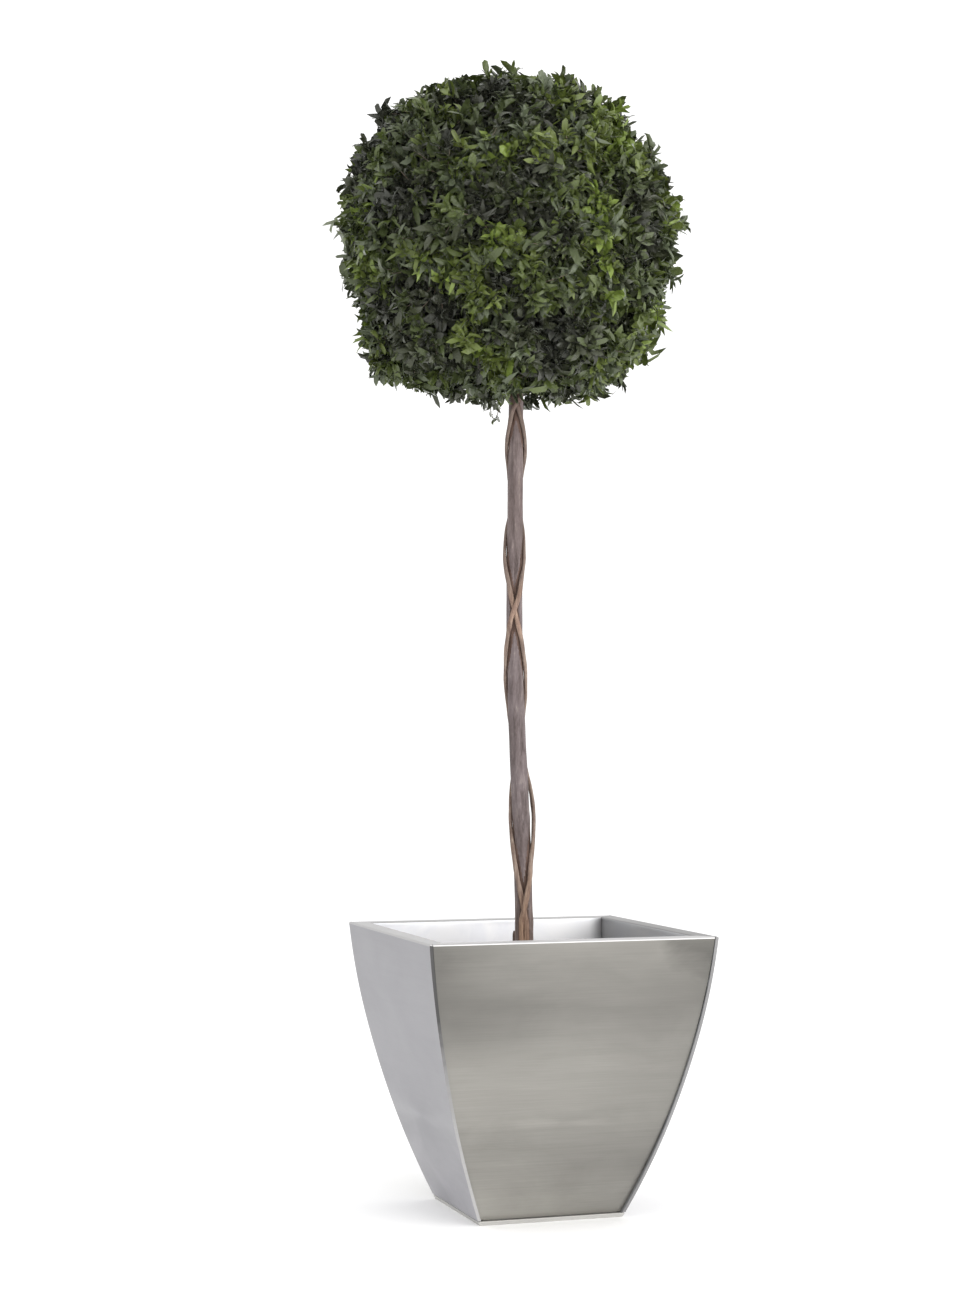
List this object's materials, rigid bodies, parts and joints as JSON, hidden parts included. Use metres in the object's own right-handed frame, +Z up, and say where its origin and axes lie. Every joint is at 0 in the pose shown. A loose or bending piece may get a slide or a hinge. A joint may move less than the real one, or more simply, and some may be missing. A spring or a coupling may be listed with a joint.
{
  "type": "standard ball topiary in a square metal planter",
  "caption": "Clipped leafy ball on a bare stem with thin stems wound round it, standing in a square bowed metal planter.",
  "frame": {"origin": "centre of the planter's flat underside", "axes": "+Z up along the stem, -Y towards the front wall of the planter, +X to its right"},
  "size_m": [0.4712, 0.4607, 1.4933],
  "materials": {
    "leaf": "satin",
    "bark": "matte",
    "winder": "matte",
    "soil": "matte",
    "planter_metal": "satin"
  },
  "bodies": {
    "root": {"foliage_ball": "leaf", "trunk": "bark", "winding_stem_inner": "winder", "winding_stem_outer": "winder", "soil": "soil", "planter_foot": "planter_metal", "planter_wall_front": "planter_metal", "planter_wall_back": "planter_metal", "planter_wall_left": "planter_metal", "planter_wall_right": "planter_metal", "planter_rim_front": "planter_metal", "planter_rim_back": "planter_metal", "planter_rim_left": "planter_metal", "planter_rim_right": "planter_metal"}
  },
  "joints": []
}
